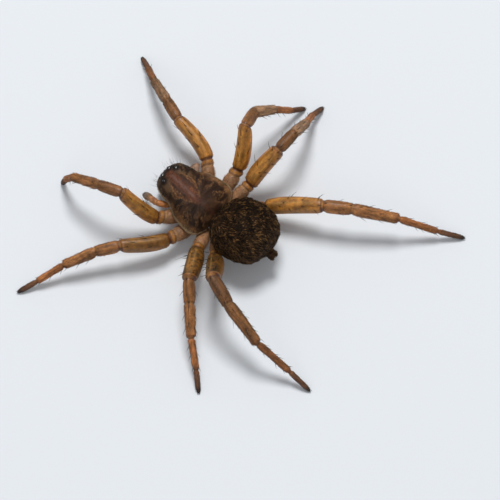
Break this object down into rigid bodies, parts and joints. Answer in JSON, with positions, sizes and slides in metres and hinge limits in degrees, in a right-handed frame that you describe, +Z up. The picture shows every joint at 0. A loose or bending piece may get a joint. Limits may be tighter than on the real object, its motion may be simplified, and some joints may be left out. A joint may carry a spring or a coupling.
{
  "type": "wolf spider",
  "caption": "Still life-size female wolf spider standing with its legs spread, brown carapace with a pale median band and a dark hairy abdomen.",
  "frame": {"origin": "on the floor, under the middle of the whole figure's bounding box", "axes": "+Z up; the head faces -Y; the spider's left side is +X"},
  "size_m": [0.0282, 0.0308, 0.0064],
  "materials": {
    "carapace": "satin dark brown shell",
    "sternum": "satin brown plate",
    "mouthparts": "satin brown",
    "chelicera": "shiny dark brown shell",
    "fang": "glossy near black horn",
    "palp": "satin orange brown",
    "pedicel": "matte",
    "abdomen": "dense short dark brown hair",
    "spinneret": "short hair over brown skin",
    "eye": "polished black",
    "coxa": "satin",
    "femur": "satin golden brown",
    "patella": "satin reddish brown",
    "tibia": "satin reddish brown",
    "foot": "satin orange brown to dark tip"
  },
  "bodies": {
    "root": {"Carapace": "carapace", "Sternum": "sternum", "Mouthparts": "mouthparts", "Chelicera_L": "chelicera", "Chelicera_R": "chelicera", "Fang_L": "fang", "Fang_R": "fang", "Palp_L": "palp", "Palp_R": "palp", "Pedicel": "pedicel", "Abdomen": "abdomen", "Spinnerets": "spinneret", "Eye_PosteriorMedian_L": "eye", "Eye_PosteriorMedian_R": "eye", "Eye_PosteriorLateral_L": "eye", "Eye_PosteriorLateral_R": "eye", "Eye_AnteriorMedian_L": "eye", "Eye_AnteriorMedian_R": "eye", "Eye_AnteriorLateral_L": "eye", "Eye_AnteriorLateral_R": "eye", "Leg_L1_Coxa": "coxa", "Leg_L1_Femur": "femur", "Leg_L1_Patella": "patella", "Leg_L1_Tibia": "tibia", "Leg_L1_Foot": "foot", "Leg_L2_Coxa": "coxa", "Leg_L2_Femur": "femur", "Leg_L2_Patella": "patella", "Leg_L2_Tibia": "tibia", "Leg_L2_Foot": "foot", "Leg_L3_Coxa": "coxa", "Leg_L3_Femur": "femur", "Leg_L3_Patella": "patella", "Leg_L3_Tibia": "tibia", "Leg_L3_Foot": "foot", "Leg_L4_Coxa": "coxa", "Leg_L4_Femur": "femur", "Leg_L4_Patella": "patella", "Leg_L4_Tibia": "tibia", "Leg_L4_Foot": "foot", "Leg_R1_Coxa": "coxa", "Leg_R1_Femur": "femur", "Leg_R1_Patella": "patella", "Leg_R1_Tibia": "tibia", "Leg_R1_Foot": "foot", "Leg_R2_Coxa": "coxa", "Leg_R2_Femur": "femur", "Leg_R2_Patella": "patella", "Leg_R2_Tibia": "tibia", "Leg_R2_Foot": "foot", "Leg_R3_Coxa": "coxa", "Leg_R3_Femur": "femur", "Leg_R3_Patella": "patella", "Leg_R3_Tibia": "tibia", "Leg_R3_Foot": "foot", "Leg_R4_Coxa": "coxa", "Leg_R4_Femur": "femur", "Leg_R4_Patella": "patella", "Leg_R4_Tibia": "tibia", "Leg_R4_Foot": "foot"}
  },
  "joints": []
}
